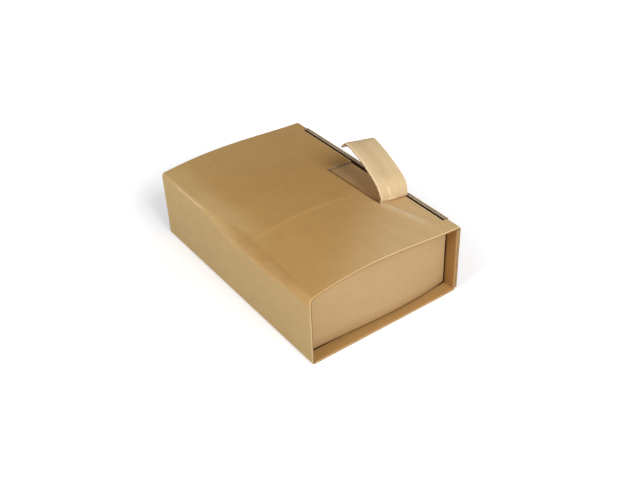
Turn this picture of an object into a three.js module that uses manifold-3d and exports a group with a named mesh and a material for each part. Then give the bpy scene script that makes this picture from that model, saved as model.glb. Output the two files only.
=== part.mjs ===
// A corrugated cardboard book wrap for an A4 book, closed and lying flat, with its tear strip
// pulled up from the lid. It is two folded boards, glued where they meet:
// - the outer wrap runs once round the pack: closing flap, lid, left wall, floor and right wall.
//   It stands past both end walls as a crush rim, and the closing flap is glued over the right
//   wall. The tear strip is still one sheet with the lid at its base.
// - the inner tray is glued to the floor. Its end walls rise inside the rims, and its two top
//   flaps fold over the contents, the front one last.
// Millimetres, +X to the closing flap, +Y to the back end, +Z up, origin under the middle.
import * as THREE from "three";
import { mergeVertices } from "three/addons/utils/BufferGeometryUtils.js";
import Module from "manifold-3d";

const wasm = await Module();
wasm.setup();

// Board and overall size
const board = 2.8; // B-flute corrugated board
const packWidth = 228;
const packLength = 343;
const packHeight = 98.5; // to the lid at its corners
const rimDepth = 17; // from the wrap's cut end to the end wall

// Outer wrap
const foldInner = 1.8; // inside radius of a scored fold
const softFoldFront = 3.6; // inside radius of the left lid fold, which the bowed lid has opened
const softFoldMiddle = 7.5;
const seamGap = 0.4; // the glue between the closing flap and the right wall
const flapLift = 4; // the closing flap stops this far above the floor
const lidCrownFront = 9.4; // how far the lid bows up
const lidCrownPeak = 11;
const lidCrownBack = 6;
const crownPeakPlace = 0.4; // share of the length from the front
const creaseRise = 0.9; // where the tray's lower flap ends and its edge shows in the lid
const creaseFront = 4;
const creaseTail = 22;

// Slot along the lid's right fold, and the tear strip beside it
const shoulder = 23; // lid left whole at each end of the slot
const slotWidth = 6; // measured from the closing flap's inner face
const lipDrop = 0.8; // the closing flap's cut edge lies this far under the lid
const wallLipDrop = 1.4; // and so does the right wall's, beside it
const wallLipGap = 1.2; // from the right wall's lip to each shoulder
const stripWidth = 41.5;
const stripBaseFromFront = 93.8; // the strip is still whole in front of this, at its tear line
const stripBaseSkew = 1.4; // the slot side is lifted this much nearer the front
const stripTorn = 112; // length torn free
const tearRoughness = 0.7;
const tearKerf = 0.35;

// Inner tray
const trayClearance = 2.4; // to the wrap's walls, each side
const glueGap = 0.3; // the glue under the tray's floor
const topGap = 0.3; // between the lid, the front flap and the back flap
const flapLength = 194; // both flaps, from the end wall to the free edge
const flapBow = 0.93; // how much of the lid's bow the flaps follow
const flapRiseLength = 75; // the front flap comes up to the lid over this length
const flapTaperLength = 40; // the flaps narrow from their folds over this length
const footBow = 6; // the front end wall's foot is pushed out this far
const footBowSkew = 1.4;

// Places that follow from the sizes
const left = -packWidth / 2;
const right = packWidth / 2;
const front = -packLength / 2;
const back = packLength / 2;
const half = board / 2;
const foldOuter = foldInner + board;
const foldMid = foldInner + half;
const rightWallOuter = right - board - seamGap;
const rightWallInner = rightWallOuter - board;
const foldBite = foldInner - Math.sqrt(2 * foldInner * seamGap - seamGap * seamGap);
const rightWallTop = packHeight - board - foldBite - topGap;
const slotEdge = right - board - slotWidth;
const tearLine = slotEdge - stripWidth;
const stripBase = front + stripBaseFromFront;
const tornEnd = stripBase + stripTorn;
const frontFlapEnd = front + rimDepth + flapLength;
const backFlapEnd = back - rimDepth - flapLength;

const deg = THREE.MathUtils.degToRad;
const mix = THREE.MathUtils.lerp;
const ease = THREE.MathUtils.smoothstep;

// A pen that draws the middle of a folded board in a plane. It goes ahead by a length, turning
// as it goes, and notes each point with its direction and the panel that it lies on.
class FoldPen {
  constructor(a, b, headingDegrees, panel) {
    this.a = a;
    this.b = b;
    this.heading = deg(headingDegrees);
    this.points = [];
    this.mark(panel);
  }
  mark(panel) {
    this.points.push({ a: this.a, b: this.b, heading: this.heading, panel });
  }
  go(length, turnDegrees, steps, panel) {
    const turn = deg(turnDegrees) / steps;
    const chord = turn ? (2 * Math.sin(turn / 2) * length) / (turn * steps) : length / steps;
    for (let i = 0; i < steps; i++) {
      this.heading += turn / 2;
      this.a += chord * Math.cos(this.heading);
      this.b += chord * Math.sin(this.heading);
      this.heading += turn / 2;
      this.mark(panel);
    }
    return this;
  }
  run(length, steps, panel) {
    return this.go(length, 0, steps, panel);
  }
  fold(turnDegrees, radius, steps, panel) {
    return this.go(radius * Math.abs(deg(turnDegrees)), turnDegrees, steps, panel);
  }
  // The two skins of the board at a point: right of the pen first, then left of it.
  static skins(point) {
    const na = Math.sin(point.heading) * half;
    const nb = -Math.cos(point.heading) * half;
    return [
      [point.a + na, point.b + nb],
      [point.a - na, point.b - nb],
    ];
  }
}

// A closed board from grid[station][point] = [right skin, left skin], each a Vector3. The right
// skin faces out where stations x path points that way.
function boardFromGrid(grid) {
  const stations = grid.length;
  const points = grid[0].length;
  const positions = grid.flat(2).flatMap((v) => [v.x, v.y, v.z]);
  const index = [];
  const at = (j, i, side) => (j * points + i) * 2 + side;
  const quad = (a, b, c, d) => index.push(a, b, c, a, c, d);
  for (let j = 0; j + 1 < stations; j++) {
    for (let i = 0; i + 1 < points; i++) {
      quad(at(j, i, 0), at(j + 1, i, 0), at(j + 1, i + 1, 0), at(j, i + 1, 0));
      quad(at(j, i, 1), at(j, i + 1, 1), at(j + 1, i + 1, 1), at(j + 1, i, 1));
    }
    const end = points - 1;
    quad(at(j, 0, 0), at(j, 0, 1), at(j + 1, 0, 1), at(j + 1, 0, 0));
    quad(at(j, end, 0), at(j + 1, end, 0), at(j + 1, end, 1), at(j, end, 1));
  }
  const last = stations - 1;
  for (let i = 0; i + 1 < points; i++) {
    quad(at(0, i, 0), at(0, i + 1, 0), at(0, i + 1, 1), at(0, i, 1));
    quad(at(last, i, 0), at(last, i, 1), at(last, i + 1, 1), at(last, i + 1, 0));
  }
  const geometry = new THREE.BufferGeometry();
  geometry.setAttribute("position", new THREE.Float32BufferAttribute(positions, 3));
  geometry.setIndex(index);
  return geometry;
}

// A three.js geometry as a solid to join and cut, and back again
function solidOf(geometry) {
  const bare = geometry.clone();
  bare.deleteAttribute("normal");
  bare.deleteAttribute("uv");
  const merged = mergeVertices(bare, 1e-4);
  return new wasm.Manifold(
    new wasm.Mesh({
      numProp: 3,
      vertProperties: merged.attributes.position.array,
      triVerts: new Uint32Array(merged.index.array),
    }),
  );
}

function geometryOf(solid) {
  const mesh = solid.getMesh();
  const geometry = new THREE.BufferGeometry();
  geometry.setAttribute("position", new THREE.BufferAttribute(mesh.vertProperties, 3));
  geometry.setIndex(new THREE.BufferAttribute(mesh.triVerts, 1));
  geometry.computeVertexNormals();
  return geometry;
}

function boxBetween(x0, x1, y0, y1, z0, z1) {
  const box = new THREE.BoxGeometry(x1 - x0, y1 - y0, z1 - z0);
  return box.translate((x0 + x1) / 2, (y0 + y1) / 2, (z0 + z1) / 2);
}

// Where cardboard tears, its edge wanders by up to tearRoughness each way.
const tearWander = (s) =>
  tearRoughness * (0.5 * Math.sin(1.9 * s) + 0.3 * Math.sin(0.83 * s + 1) + 0.2 * Math.sin(3.7 * s));

// The lid bows up between its folds: steeply beside the left fold, gently towards the slot.
const bowRise = 1.1;
const bowFall = 1.75;
const bowPeakAt = bowRise / (bowRise + bowFall);
const bowPeak = bowPeakAt ** bowRise * (1 - bowPeakAt) ** bowFall;
function bowShare(x) {
  const u = THREE.MathUtils.clamp((x - left) / packWidth, 0, 1);
  return (u ** bowRise * (1 - u) ** bowFall) / bowPeak;
}

function crownAt(y) {
  const peak = front + crownPeakPlace * packLength;
  const upToPeak = mix(lidCrownFront, lidCrownPeak, ease(y, front, peak));
  return mix(upToPeak, lidCrownBack, ease(y, peak, back));
}

function creaseShare(y) {
  const before = ease(y, backFlapEnd - creaseFront, backFlapEnd);
  const after = 1 - ease(y, backFlapEnd, backFlapEnd + creaseTail);
  return Math.min(before, after);
}

function lidRise(x, y) {
  return bowShare(x) * (crownAt(y) + creaseRise * creaseShare(y));
}

// Inside radius of the left lid fold: opened most in the middle, and crisp towards the back
function softFold(y) {
  const v = (y - front) / packLength;
  const opened = mix(softFoldFront, softFoldMiddle, ease(v, 0, 0.35));
  return mix(opened, foldInner, ease(v, 0.5, 0.72));
}

// The middle of the wrap's board at one place along the pack, from the closing flap's lower
// edge round to the top of the right wall
function wrapSection(y) {
  const soft = softFold(y) + half;
  const lidEnd = left + half + soft;
  return new FoldPen(right - half, flapLift, 90, "closing flap")
    .run(packHeight - foldOuter - flapLift, 1, "closing flap")
    .fold(90, foldMid, 5, "lid")
    .run(right - half - foldMid - lidEnd, 20, "lid")
    .fold(90, soft, 7, "lid")
    .run(packHeight - half - soft - foldOuter, 2, "left wall")
    .fold(90, foldMid, 4, "floor")
    .run(rightWallInner + half - foldMid - (left + half + foldMid), 1, "floor")
    .fold(90, foldMid, 4, "floor")
    .run(rightWallTop - foldOuter, 1, "right wall").points;
}

// Places along the pack where the wrap's section is drawn, closer together at the crease
function stationsAlong(start, end, pitch, extra) {
  const steps = Math.ceil((end - start) / pitch);
  const even = Array.from({ length: steps + 1 }, (_, i) => start + ((end - start) * i) / steps);
  const kept = even.filter((y) => extra.every((e) => Math.abs(e - y) > pitch / 6));
  return [...kept, ...extra].sort((a, b) => a - b);
}

function wrapBody() {
  const creaseSteps = [-creaseFront, -creaseFront / 2, 0, creaseTail / 4, creaseTail / 2];
  const stations = stationsAlong(front, back, 18, creaseSteps.map((step) => backFlapEnd + step));
  const grid = stations.map((y) =>
    wrapSection(y).map((point) =>
      FoldPen.skins(point).map(([x, z]) => {
        const rise = point.panel === "lid" ? lidRise(x, y) : 0;
        return new THREE.Vector3(x, y, z + rise);
      }),
    ),
  );
  return solidOf(boardFromGrid(grid));
}

// The slot takes the lid's edge and the whole fold away, but leaves the right wall as it is.
function slotCutter() {
  const above = packHeight + 20;
  const wallTop = rightWallTop + topGap / 2;
  const flapTop = packHeight - foldOuter;
  const besideWall = rightWallOuter + seamGap / 8;
  const shape = new THREE.Shape([
    new THREE.Vector2(slotEdge, above),
    new THREE.Vector2(slotEdge, wallTop),
    new THREE.Vector2(besideWall, wallTop),
    new THREE.Vector2(besideWall, flapTop),
    new THREE.Vector2(right + 1, flapTop),
    new THREE.Vector2(right + 1, above),
  ]);
  const length = packLength - 2 * shoulder;
  const prism = new THREE.ExtrudeGeometry(shape, { depth: length, bevelEnabled: false });
  return solidOf(prism.rotateX(Math.PI / 2).translate(0, length / 2, 0));
}

// Beside the slot the closing flap isn't folded, so it stands straight up to its cut edge, and
// the right wall stands up beside it.
function slotLips() {
  const overlap = 0.5;
  const flapEnd = back - shoulder;
  const flapFoot = packHeight - foldOuter - overlap;
  const flap = boxBetween(right - board, right, -flapEnd, flapEnd, flapFoot, packHeight - lipDrop);
  const wallEnd = flapEnd - wallLipGap;
  const wallFoot = rightWallTop - overlap;
  const wallLipTop = packHeight - wallLipDrop;
  const wall = boxBetween(rightWallInner, rightWallOuter, -wallEnd, wallEnd, wallFoot, wallLipTop);
  return solidOf(flap).add(solidOf(wall));
}

// Where across the strip: 0 at the tear line, 1 at the slot
const acrossStrip = (x) => (x - tearLine) / stripWidth;
const baseAt = (x) => stripBase - stripBaseSkew * acrossStrip(x);
const tornEndAt = (x) => tornEnd + 2.2 * tearWander(0.9 * (x - tearLine) + 2);

// The opening that the torn strip leaves in the lid
function openingCutter() {
  const steps = 44;
  const outline = [];
  for (let i = 0; i <= steps; i++) {
    const s = (stripTorn * i) / steps;
    outline.push(new THREE.Vector2(tearLine + tearWander(s), stripBase + s));
  }
  for (let i = 0; i <= 12; i++) {
    const x = mix(tearLine + 1, slotEdge + 1, i / 12);
    outline.push(new THREE.Vector2(x, tornEndAt(x)));
  }
  outline.push(new THREE.Vector2(slotEdge + 1, baseAt(slotEdge)));
  const depth = board + lidCrownPeak + 8;
  const prism = new THREE.ExtrudeGeometry(new THREE.Shape(outline), { depth, bevelEnabled: false });
  return solidOf(prism.translate(0, 0, rightWallTop + topGap / 2));
}

// The torn strip is bent back over its base, then creased upright. From there it arches over
// the opening and curls down past its crest. It twists, because its two edges turn by different
// angles. Each bend is a share of the torn length and the degrees that the tear line's edge and
// the slot's edge turn by.
const stripRoot = 2;
const stripStandRadius = 1.9;
const stripStand = { tearSide: 113, slotSide: 136, steps: 7 };
const stripBends = [
  { share: 0.03, tearSide: 0, slotSide: 0, steps: 1 },
  { share: 0.02, tearSide: -41, slotSide: -50, steps: 3 },
  { share: 0.1, tearSide: -15, slotSide: -10, steps: 3 },
  { share: 0.055, tearSide: -6, slotSide: -23, steps: 3 },
  { share: 0.105, tearSide: -16, slotSide: -19, steps: 4 },
  { share: 0.18, tearSide: -3, slotSide: -6, steps: 3 },
  { share: 0.23, tearSide: -12, slotSide: -6, steps: 4 },
  { share: 0.11, tearSide: -8, slotSide: -10, steps: 3 },
  { share: 0.055, tearSide: -58, slotSide: -60, steps: 5 },
];

// The strip is as long as the opening that it was torn from.
function stripPath(x) {
  const turnAt = (bend) => mix(bend.tearSide, bend.slotSide, acrossStrip(x));
  const lidMiddle = packHeight - half + lidRise(x, baseAt(x));
  const stand = stripStandRadius * deg(turnAt(stripStand));
  const pen = new FoldPen(baseAt(x) - stripRoot, lidMiddle, 0, "strip")
    .run(stripRoot, 1, "strip")
    .fold(turnAt(stripStand), stripStandRadius, stripStand.steps, "strip");
  stripBends.forEach((bend) => pen.go(bend.share * stripTorn, turnAt(bend), bend.steps, "strip"));
  const bent = stripBends.reduce((sum, bend) => sum + bend.share * stripTorn, stand);
  return pen.run(tornEndAt(x) - baseAt(x) - bent, 3, "strip").points;
}

function tornStrip() {
  const stationCount = 9;
  const grid = [];
  for (let j = 0; j < stationCount; j++) {
    const x = mix(slotEdge, tearLine + tearKerf, j / (stationCount - 1));
    const path = stripPath(x);
    let s = -stripRoot;
    grid.push(
      path.map((point, i) => {
        if (i > 0) s += Math.hypot(point.a - path[i - 1].a, point.b - path[i - 1].b);
        const torn = j === stationCount - 1 && s > 3 ? tearWander(s) : 0;
        return FoldPen.skins(point).map(([y, z]) => new THREE.Vector3(x + torn, y, z));
      }),
    );
  }
  return solidOf(boardFromGrid(grid));
}

function outerWrap() {
  return wrapBody()
    .subtract(slotCutter())
    .add(slotLips())
    .subtract(openingCutter())
    .add(tornStrip());
}

// The tray's board seen from the side, from the front flap's free edge, down the front end
// wall, along the floor, up the back end wall and forward along the back flap
const trayLeft = left + board + trayClearance;
const trayRight = rightWallInner - trayClearance;
const trayFloor = board + glueGap + half;
const trayTop = packHeight - board - topGap - half;
const frontWall = front + rimDepth + half;
const backWall = back - rimDepth - half;
const flapLap = board + topGap;
const flapTaper = Math.max(0, softFoldMiddle - trayClearance);

const trayPath = new FoldPen(frontFlapEnd, trayTop, 180, "front flap")
  .run(frontFlapEnd - backFlapEnd, 3, "front flap")
  .run(backFlapEnd - frontWall - foldMid, 8, "front flap")
  .fold(90, foldMid, 4, "front wall")
  .run(trayTop - trayFloor - 2 * foldMid, 7, "front wall")
  .fold(90, foldMid, 4, "front foot")
  .run(backWall - frontWall - 2 * foldMid, 1, "floor")
  .fold(90, foldMid, 4, "floor")
  .run(trayTop - trayFloor - 2 * foldMid, 1, "back wall")
  .fold(90, foldMid, 4, "back flap")
  .run(backWall - foldMid - frontFlapEnd, 8, "back flap")
  .run(frontFlapEnd - backFlapEnd, 3, "back flap").points;

// The front flap comes up under the bowed lid, and the back flap lies under the front one.
function flapRise(panel, x, y) {
  const bow = flapBow * bowShare(x) * crownAt(y);
  if (panel === "front flap") {
    return bow * ease(y, frontWall + foldOuter, frontWall + foldOuter + flapRiseLength);
  }
  if (panel === "back flap") {
    return (bow - flapLap) * (1 - ease(y, frontFlapEnd + flapLap, backWall - foldOuter));
  }
  return 0;
}

// The front end wall's foot is pushed out, most of all right of the middle.
function footPush(panel, across, z) {
  if (panel !== "front wall" && panel !== "front foot") return 0;
  const bow = footBow * Math.sin(Math.PI * across ** footBowSkew);
  return -bow * (1 - ease(z, trayFloor + foldMid, trayTop - foldOuter));
}

function innerTray() {
  const stations = 15;
  const grid = [];
  for (let j = 0; j < stations; j++) {
    const across = 1 - j / (stations - 1);
    grid.push(
      trayPath.map((point) => {
        const onFlap = point.panel.endsWith("flap");
        const fromFold = Math.min(point.a - frontWall, backWall - point.a) - foldMid;
        const taper = onFlap ? flapTaper * ease(fromFold, 0, flapTaperLength) : 0;
        const x = mix(trayLeft + taper, trayRight, across);
        return FoldPen.skins(point).map(([y, z]) => {
          const up = flapRise(point.panel, x, y);
          return new THREE.Vector3(x, y + footPush(point.panel, across, z), z + up);
        });
      }),
    );
  }
  return boardFromGrid(grid);
}

const kraftOuter = new THREE.MeshStandardMaterial({ color: 0xc09c6a, roughness: 0.85, metalness: 0 });
const kraftInner = new THREE.MeshStandardMaterial({ color: 0xc6a474, roughness: 0.88, metalness: 0 });

function piece(name, geometry, material) {
  const mesh = new THREE.Mesh(geometry, material);
  mesh.name = name;
  return mesh;
}

const pack = new THREE.Group();
pack.add(piece("outer_wrap", geometryOf(outerWrap()), kraftOuter));
pack.add(piece("inner_tray", innerTray(), kraftInner));

export default pack;
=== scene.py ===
# %% [markdown]
# # A corrugated book mailer with its tear strip pulled up
#
# The object is a closed pack of brown corrugated board, lying flat. One folded sheet runs
# round it and stands past both ends as a rim. A second sheet inside makes the end walls and
# the flaps under the lid. A tear strip beside the long slot has been pulled up from the lid.
#
# Corrugated board is two paper liners with a wavy fluting between them, and its cut edges
# show all three. So each sheet is made the way a box factory makes it. A flat blank is cut
# with the bisect tool, its slot and tear lines are opened, and copies of it become the
# liners and the fluting. Each copy is then folded by one rule, at its own depth in the board.

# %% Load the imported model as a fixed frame
import math
import bpy
from mathutils import Matrix, Vector, noise


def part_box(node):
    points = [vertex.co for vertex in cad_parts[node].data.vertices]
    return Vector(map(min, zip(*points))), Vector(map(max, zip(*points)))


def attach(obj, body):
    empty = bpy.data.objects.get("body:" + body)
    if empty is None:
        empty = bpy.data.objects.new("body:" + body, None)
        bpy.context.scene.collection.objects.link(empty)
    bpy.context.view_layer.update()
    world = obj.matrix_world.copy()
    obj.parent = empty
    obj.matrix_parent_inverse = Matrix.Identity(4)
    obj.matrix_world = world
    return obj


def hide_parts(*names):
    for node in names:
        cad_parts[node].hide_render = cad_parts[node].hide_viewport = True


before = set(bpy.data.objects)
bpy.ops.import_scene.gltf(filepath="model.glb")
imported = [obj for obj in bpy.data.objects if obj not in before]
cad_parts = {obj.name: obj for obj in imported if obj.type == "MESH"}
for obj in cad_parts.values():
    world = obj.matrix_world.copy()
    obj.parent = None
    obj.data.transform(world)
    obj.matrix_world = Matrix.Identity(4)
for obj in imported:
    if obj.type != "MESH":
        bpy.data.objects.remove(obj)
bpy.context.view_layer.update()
wrap_low, wrap_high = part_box("outer_wrap")
print("CAD nodes:", sorted(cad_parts))

# %% [markdown]
# ## Sizes
#
# Everything is in metres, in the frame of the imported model. The outside of the pack is read
# from the model. The other sizes are those of the real board and of the die that cut it.

# %% Sizes of the pack and its board
MM = 0.001
board = 2.8 * MM
half = board / 2
left = wrap_low.x
right = wrap_high.x
front = wrap_low.y
back = wrap_high.y
lid_height = 98.5 * MM
rim_depth = 17 * MM
fold_inner = 1.8 * MM
fold_middle = fold_inner + half
fold_outer = fold_inner + board
seam_gap = 0.4 * MM
flap_lift = 4 * MM
right_wall_inner = right - board - seam_gap - board
top_gap = 0.3 * MM
print(f"the pack is {(right - left) / MM:.0f} x {(back - front) / MM:.0f} mm")
print(f"the lid's folds lie {lid_height / MM:.1f} mm above the ground")

# %% [markdown]
# ## The slot and the tear strip
#
# The die cut a long slot along the lid's right fold and left a shoulder of whole lid at each
# end of it. The cut edges of the closing flap and the right wall stand up in the slot as two
# lips. The tear strip lies between the slot and a tear line, and it is torn up as far as its
# base. Every place here is measured from the pack's edges.

# %% Sizes of the slot, the tear strip and the tray's flaps
shoulder = 23 * MM
slot_width = 6.6 * MM
slot_edge = right - board - slot_width
slot_end = back - shoulder
lip_drop = 0.5 * MM
wall_lip_drop = 0.5 * MM
wall_lip_inset = 1.2 * MM
wall_lip_end = slot_end - wall_lip_inset
strip_width = 40.9 * MM
tear_line = slot_edge - strip_width
base_from_front = 93.8 * MM
strip_base = front + base_from_front
strip_base_skew = 1.4 * MM
torn_length = 112 * MM
torn_end = strip_base + torn_length
flap_length = 194 * MM
front_flap_end = front + rim_depth + flap_length
back_flap_end = back - rim_depth - flap_length
print(f"the slot is {2 * slot_end / MM:.0f} mm long, and the strip {strip_width / MM:.1f} mm wide")

# %% [markdown]
# ## The rule that folds a board
#
# A fold path is the middle line of the board seen from its edge. It is drawn with a pen that
# goes straight or turns, and each stretch is a panel. A flat blank keeps the same panels side
# by side, so a place on the blank has a place on the folded board.

# %% A pen for fold paths
STRAIGHT = 1e-6


def ease(value, low, high):
    """0 before low, 1 after high, and a smooth step between."""
    t = min(max((value - low) / (high - low), 0), 1)
    return t * t * (3 - 2 * t)


def mix(a, b, t):
    return a + (b - a) * t


class FoldPath:
    """A line of panels, drawn by a pen at (a, b) that points along a heading in degrees."""

    def __init__(self, a, b, heading):
        self.pen = (a, b, math.radians(heading))
        self.panels = []
        self.length = 0

    def go(self, name, length, turn=0):
        """Draw a panel that is straight, or turns evenly by some degrees."""
        self.panels.append((name, self.length, length, math.radians(turn), self.pen))
        self.length += length
        self.pen = self.at(len(self.panels) - 1, 1)
        return self

    def fold(self, name, turn, radius):
        return self.go(name, radius * abs(math.radians(turn)), turn)

    def at(self, panel, share):
        """Where the pen is at a share of a panel, and which way it points."""
        _, _, length, turn, (a, b, heading) = self.panels[panel]
        bend = turn * share
        chord = length * share
        if abs(bend) > STRAIGHT:
            chord *= math.sin(bend / 2) / (bend / 2)
        middle = heading + bend / 2
        return a + chord * math.cos(middle), b + chord * math.sin(middle), heading + bend

    def find(self, distance):
        """The panel at a distance along the path, and the share of that panel."""
        for i, (_, start, length, _, _) in enumerate(self.panels):
            if distance <= start + length or i == len(self.panels) - 1:
                return i, (distance - start) / length

    def start_of(self, name):
        return next(start for panel, start, _, _, _ in self.panels if panel == name)

    def length_of(self, name):
        return next(length for panel, _, length, _, _ in self.panels if panel == name)


quarter = FoldPath(0, 0, 0).fold("quarter", 90, 1)
print("a quarter turn of radius 1 ends at", [round(place, 3) for place in quarter.pen[:2]])

# %% [markdown]
# ## The lid's form
#
# The contents of such a pack push its lid up, so it is bowed, with its highest line left of
# the middle. A faint crease crosses it where the tray's lower flap ends. Both are heights over
# a flat lid, so they are added to it when it is folded.

# %% How far the lid stands above its folds
bow_rise = 1.1
bow_fall = 1.75
bow_peak_at = bow_rise / (bow_rise + bow_fall)
bow_peak = bow_peak_at**bow_rise * (1 - bow_peak_at) ** bow_fall
crown_front = 9.4 * MM
crown_peak = 11 * MM
crown_back = 6 * MM
crown_peak_at = front + 0.4 * (back - front)
crease_height = 0.6 * MM
crease_before = 4 * MM
crease_behind = 22 * MM


def bow_share(x):
    """The bow across the pack: 0 at both folds and 1 on its highest line."""
    u = min(max((x - left) / (right - left), 0), 1)
    return u**bow_rise * (1 - u) ** bow_fall / bow_peak


def crown_at(y):
    """The height of the bow: it rises from the front to a peak and falls towards the back."""
    up_to_peak = mix(crown_front, crown_peak, ease(y, front, crown_peak_at))
    return mix(up_to_peak, crown_back, ease(y, crown_peak_at, back))


def crease_share(y):
    """1 on the crease, which is steep before it and gentle behind it."""
    before = ease(y, back_flap_end - crease_before, back_flap_end)
    behind = 1 - ease(y, back_flap_end, back_flap_end + crease_behind)
    return min(before, behind)


def lid_rise(x, y):
    return bow_share(x) * (crown_at(y) + crease_height * crease_share(y))


bow_line = mix(left, right, bow_peak_at)
print(f"the lid stands {lid_rise(bow_line, 0) / MM:.1f} mm above its folds in the middle")

# %% [markdown]
# ## The pull's ridge
#
# The pull on the strip raises a soft ridge in the lid, from the strip's base towards the front
# edge. It is a bell curve across a slanted line, steeper on the side of the slot.

# %% The ridge that the pull raises
pull_start = Vector((tear_line + 2 * MM, strip_base))
pull_end = Vector((right - 25.5 * MM, front + 12 * MM))
pull_height = 1.5 * MM
pull_left_width = 6 * MM
pull_right_width = 4.5 * MM


def pull_ridge(x, y):
    """A ridge that grows from the front edge and ends soon behind the strip's base."""
    along = (y - pull_end.y) / (pull_start.y - pull_end.y)
    ridge_x = mix(pull_end.x, pull_start.x, along)
    height = pull_height * ease(along, -0.12, 0.7) * (1 - ease(along, 1.0, 1.25))
    side = (x - ridge_x) / (pull_left_width if x < ridge_x else pull_right_width)
    return height * math.exp(-side * side)


print(f"the ridge is {pull_ridge(*pull_start) / MM:.1f} mm high at the strip's base")

# %% [markdown]
# ## The wrap's path
#
# The wrap starts at the closing flap's lower edge, goes up, over the lid, down the left wall,
# along the floor and up the right wall, inside the closing flap. The left lid fold is crisp at
# the back and has been opened by the bowed lid in the middle, so its radius changes along it.

# %% The section of the wrap at one place along the pack
soft_front = 3.6 * MM
soft_middle = 7.5 * MM


def soft_fold(y):
    """The inner radius of the left lid fold: softest in the middle and crisp at the back."""
    v = (y - front) / (back - front)
    opened = mix(soft_front, soft_middle, ease(v, 0, 0.35))
    return mix(opened, fold_inner, ease(v, 0.5, 0.72))


fold_bite = fold_inner - math.sqrt(2 * fold_inner * seam_gap - seam_gap**2)
right_wall_top = lid_height - board - fold_bite - top_gap


def wrap_section(y):
    soft = soft_fold(y) + half
    return (
        FoldPath(right - half, flap_lift, 90)
        .go("closing flap", lid_height - fold_outer - flap_lift)
        .fold("right lid fold", 90, fold_middle)
        .go("lid", right - half - fold_middle - (left + half + soft))
        .fold("left lid fold", 90, soft)
        .go("left wall", lid_height - half - soft - fold_outer)
        .fold("left floor fold", 90, fold_middle)
        .go("floor", right_wall_inner + half - fold_middle - (left + half + fold_middle))
        .fold("right floor fold", 90, fold_middle)
        .go("right wall", lid_height - wall_lip_drop - fold_outer)
    )


flat_wrap = wrap_section(front)
lid_panels = ("right lid fold", "lid", "left lid fold")
print(f"the wrap's blank is {flat_wrap.length / MM:.0f} mm round the pack")

# %% [markdown]
# ## The strip's path
#
# The strip still grows out of the lid at its base. There it is bent back over itself and then
# creased upright. It arches over the opening and curls down past its crest. Its two edges
# turn by different angles, and that gives it its twist. The stand is a radius and the degrees
# that the tear line's edge and the slot's edge turn by. Each bend is a share of the torn
# length and the same two turns.

# %% The path of the lifted strip at one place across it
past_torn_end = 40 * MM
strip_stand = (1.9 * MM, 113, 136)
strip_bends = (
    (0.03, 0, 0),
    (0.02, -41, -50),
    (0.1, -15, -10),
    (0.055, -6, -23),
    (0.105, -16, -19),
    (0.18, -3, -6),
    (0.23, -12, -6),
    (0.11, -8, -10),
    (0.055, -58, -60),
)


def across_strip(x):
    """0 at the tear line and 1 at the slot."""
    return (x - tear_line) / strip_width


def base_at(x):
    """Where along the pack the strip leaves the lid."""
    return strip_base - strip_base_skew * across_strip(x)


def strip_path(x):
    """The strip's middle line seen from the side, at one place across it."""
    across = across_strip(x)
    radius, tear_side, slot_side = strip_stand
    path = FoldPath(base_at(x), lid_height - half + lid_rise(x, base_at(x)), 0)
    path.fold("stand", mix(tear_side, slot_side, across), radius)
    for i, (share, tear_side, slot_side) in enumerate(strip_bends):
        path.go(f"bend {i}", share * torn_length, mix(tear_side, slot_side, across))
    return path.go("past the torn end", past_torn_end)


tip_path = strip_path(tear_line)
strip_tip = tip_path.at(*tip_path.find(torn_length))
print(f"the strip's torn tip hangs {strip_tip[1] / MM:.0f} mm above the ground")

# %% [markdown]
# ## The torn edges
#
# Where the board tore, its edge wanders by about half a millimetre. The layers tear at
# slightly different places, and the fluting tears furthest back. Points of the blank near the
# tear are moved in the plane of the blank, before it is folded, so the edges of the strip and
# of the opening that it left still match.

# %% How the tear moves the points beside it
layers = ("outer", "inner", "fluting")
tear_root = 4 * MM
tear_reach = 2.5 * MM
torn_roll = 1.8 * MM
liner_kerf = 0.15 * MM
fluting_kerf = 1 * MM
# Each wave of the wander is its share, its turns in radians per millimetre, and its start
wander_waves = ((0.5, 1.9, 0), (0.3, 0.83, 1), (0.2, 3.7, 0))
shared_wander = 0.55 * MM
own_wander = 0.5 * MM
own_pitch = 0.9
layer_apart = 7.3
end_wander = 1.4


def tear_wander(y, phase):
    """How far the tear strays at a place along it, most of it shared by all the layers."""
    s = (y - strip_base) / MM
    shared = sum(share * math.sin(turns * s + start) for share, turns, start in wander_waves)
    own = noise.noise(Vector((s * own_pitch, layer_apart * phase, 0)))
    return shared_wander * shared + own_wander * own


def near_tear(distance):
    return max(1 - distance / tear_reach, 0)


def tear(flat, in_strip, layer):
    """Pull a flat place near the tear back from it, and let it follow the tear's wander."""
    side = -1 if in_strip else 1
    kerf = side * (fluting_kerf if layer == "fluting" else liner_kerf)
    from_line = flat.x - tear_column
    from_end = flat.y - torn_end
    beside = near_tear(abs(from_line)) * near_tear(max(from_end, 0))
    beside *= ease(flat.y, strip_base, strip_base + tear_root)
    beyond = near_tear(abs(from_end)) * near_tear(max(from_line, 0))
    phase = layers.index(layer)
    flat.x += beside * (kerf + tear_wander(flat.y, phase))
    flat.y += beyond * (kerf + end_wander * tear_wander(strip_base + flat.x, phase))


def torn_share(flat, in_strip):
    """0 on the tear and 1 away from it, round like a pressed edge."""
    from_line = tear_column - flat.x
    from_end = torn_end - flat.y
    if in_strip:
        distance = min(from_line, from_end)
    else:
        distance = math.hypot(max(-from_line, 0), max(-from_end, 0))
    t = min(max(distance / torn_roll, 0), 1)
    torn = ease(flat.y, strip_base, strip_base + tear_root)
    return mix(1, math.sqrt(1 - (1 - t) ** 2), torn)


middle_wander = [round(tear_wander(0, phase) / MM, 2) for phase in range(len(layers))]
print("at the pack's middle the layers' tears stray by", middle_wander, "mm")

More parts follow.
